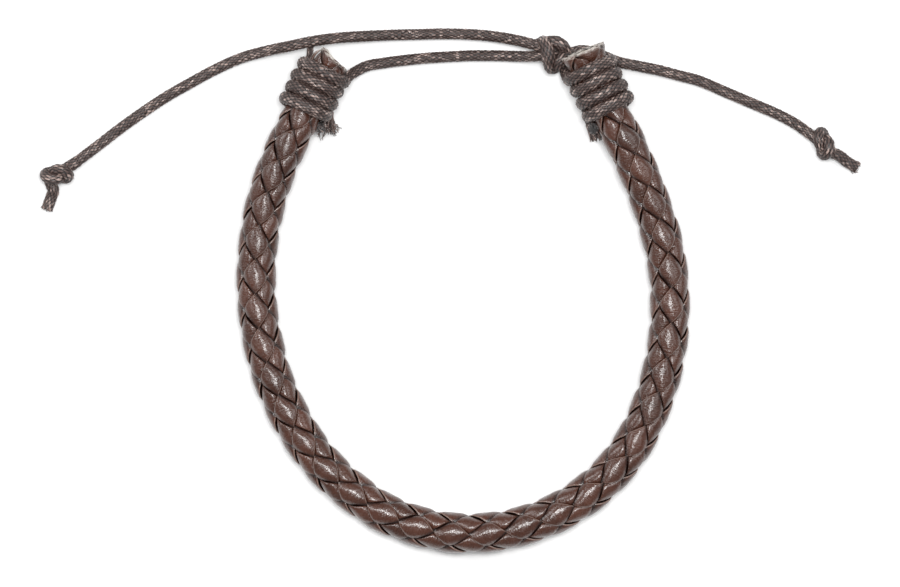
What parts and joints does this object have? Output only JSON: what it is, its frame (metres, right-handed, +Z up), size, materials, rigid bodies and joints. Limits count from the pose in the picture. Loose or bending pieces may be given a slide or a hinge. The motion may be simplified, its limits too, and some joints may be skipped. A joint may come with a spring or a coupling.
{
  "type": "braided leather bracelet",
  "caption": "Round braided leather bracelet with cord-bound ends, joined by waxed cords and a sliding knot that sets the size of the loop.",
  "frame": {"origin": "under the middle of the leather loop and its bound ends, on the surface that the bracelet lies on", "axes": "+Z up out of the plane of the loop, +Y from the foot of the loop towards the closure, +X to the right seen from above"},
  "size_m": [0.1228, 0.0788, 0.009],
  "materials": {
    "leather": "smooth dark brown, semi-gloss on the crests",
    "core": "pale twisted filler cord",
    "waxed_cord": "waxed cotton, fine braid, soft sheen"
  },
  "bodies": {
    "right_side": {"core_right": "core", "strand_1_right": "leather", "strand_2_right": "leather", "strand_3_right": "leather", "strand_4_right": "leather", "strand_5_right": "leather", "strand_6_right": "leather", "strand_7_right": "leather", "strand_8_right": "leather", "right_binding": "waxed_cord", "right_binding_tail": "waxed_cord", "sliding_knot": "waxed_cord", "knot_lead": "waxed_cord", "upper_bridge_cord": "waxed_cord"},
    "left_side": {"core_left": "core", "strand_1_left": "leather", "strand_2_left": "leather", "strand_3_left": "leather", "strand_4_left": "leather", "strand_5_left": "leather", "strand_6_left": "leather", "strand_7_left": "leather", "strand_8_left": "leather", "left_binding": "waxed_cord", "left_binding_tail": "waxed_cord", "left_start_stub": "waxed_cord", "lower_bridge_cord": "waxed_cord"},
    "right_tail": {"right_tail_cord": "waxed_cord", "right_end_knot": "waxed_cord", "right_end_tail": "waxed_cord"},
    "left_tail": {"left_tail_cord": "waxed_cord", "left_end_knot": "waxed_cord", "left_end_tail": "waxed_cord"}
  },
  "joints": [
    {"name": "loop_flex", "type": "hinge", "parent": "right_side", "child": "left_side", "pos_m": [0.0009, -0.0355, 0.0029], "axis": [0, 0, 1], "range_deg": [-15, 20], "deforming": ["upper_bridge_cord", "lower_bridge_cord"]},
    {"name": "right_tail_slide", "type": "slide", "parent": "right_side", "child": "right_tail", "axis": [0.925, -0.38, 0], "range_m": [-0.026, 0.02], "deforming": ["right_tail_cord"]},
    {"name": "left_tail_slide", "type": "slide", "parent": "left_side", "child": "left_tail", "axis": [-0.8865, -0.4627, 0], "range_m": [-0.026, 0.02], "deforming": ["left_tail_cord"]}
  ],
  "couplings": [
    {"joint": "right_tail_slide", "follows": "loop_flex", "m_per_rad": -0.072},
    {"joint": "left_tail_slide", "follows": "loop_flex", "m_per_rad": -0.072}
  ]
}
